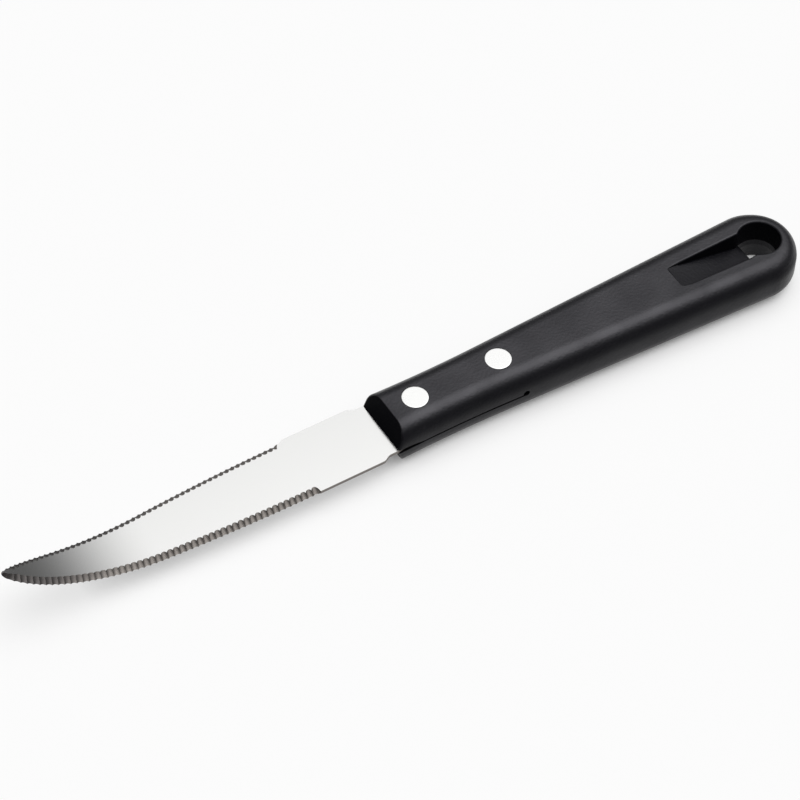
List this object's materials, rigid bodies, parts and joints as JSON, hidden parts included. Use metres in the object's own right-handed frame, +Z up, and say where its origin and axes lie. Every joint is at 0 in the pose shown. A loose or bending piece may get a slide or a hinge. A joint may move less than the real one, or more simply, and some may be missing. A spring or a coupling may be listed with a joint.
{
  "type": "grapefruit knife",
  "caption": "Grapefruit knife lying on its side: thin double-edged scalloped blade bent up at the point, riveted into a slotted black moulded handle with a hang hole.",
  "frame": {"origin": "on the floor, under the middle of the box that holds the knife as it lies on its flat side", "axes": "+X along the knife towards the butt of the handle, +Y across the blade to the far cutting edge, +Z up off the knife's flat side, the way the point bends"},
  "size_m": [0.2102, 0.0216, 0.0172],
  "materials": {
    "blade_steel": "satin polished stainless sheet with a ground scalloped bevel",
    "handle_plastic": "satin moulded black",
    "rivet_metal": "bright, polished flush with the handle"
  },
  "bodies": {
    "root": {"blade": "blade_steel", "handle": "handle_plastic", "front_post": "rivet_metal", "front_socket": "rivet_metal", "rear_post": "rivet_metal", "rear_socket": "rivet_metal"}
  },
  "joints": []
}
